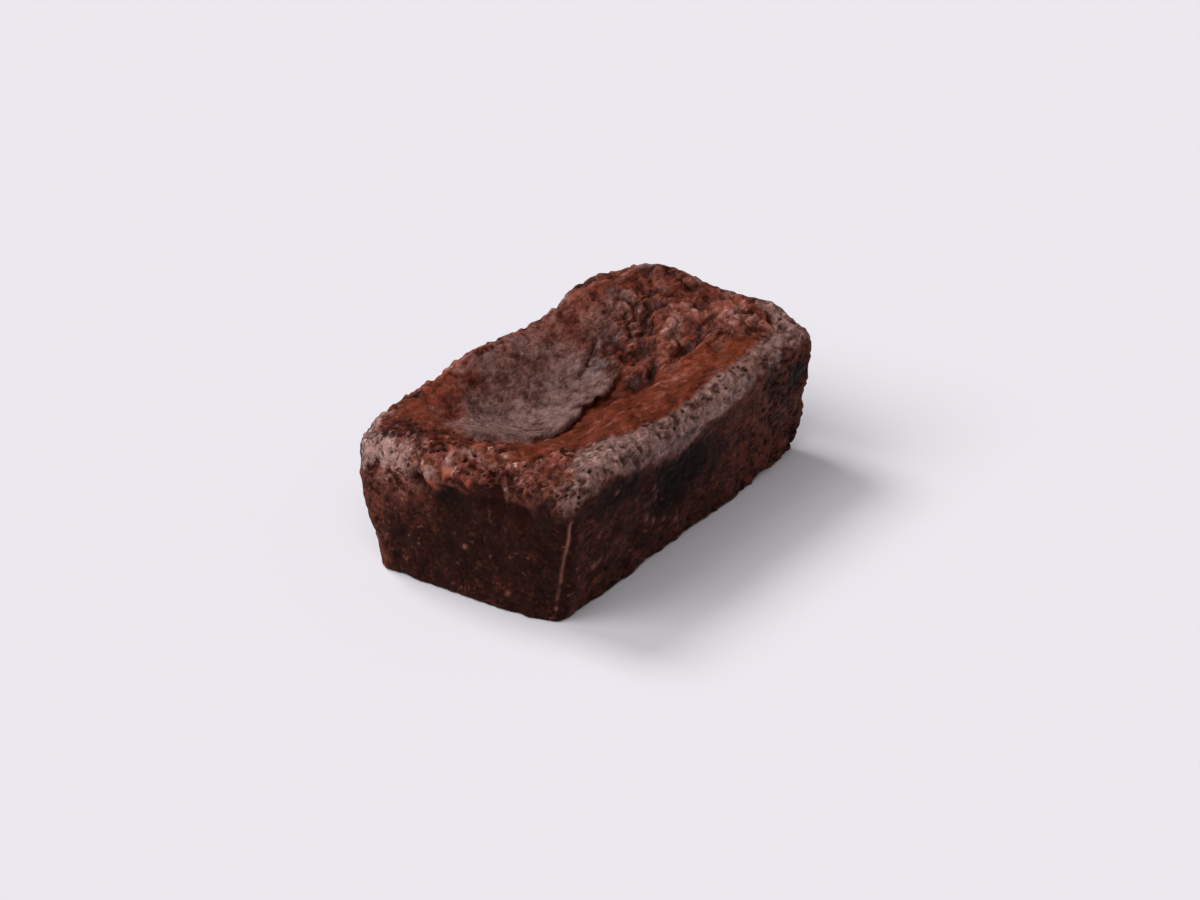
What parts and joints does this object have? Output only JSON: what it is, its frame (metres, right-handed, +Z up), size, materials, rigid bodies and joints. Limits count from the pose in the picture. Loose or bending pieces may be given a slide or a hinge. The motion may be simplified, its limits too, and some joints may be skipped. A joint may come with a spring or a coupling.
{
  "type": "chocolate brownie",
  "caption": "Small oblong loaf brownie with sloping sides, a raised crusty rim and a sunken, torn skin over a moist crumb.",
  "frame": {"origin": "on the flat base, under the middle of the widest outline", "axes": "+Z up, X along the long sides, the end with the burst bubbles faces -X, the torn edge of the skin faces -Y"},
  "size_m": [0.0912, 0.0508, 0.0339],
  "materials": {
    "baked_chocolate": "dark baked chocolate crumb: dull greyish crust on the rim and the sunken skin, moist and glossy reddish brown where the skin is torn"
  },
  "bodies": {
    "root": {"brownie": "baked_chocolate"}
  },
  "joints": []
}
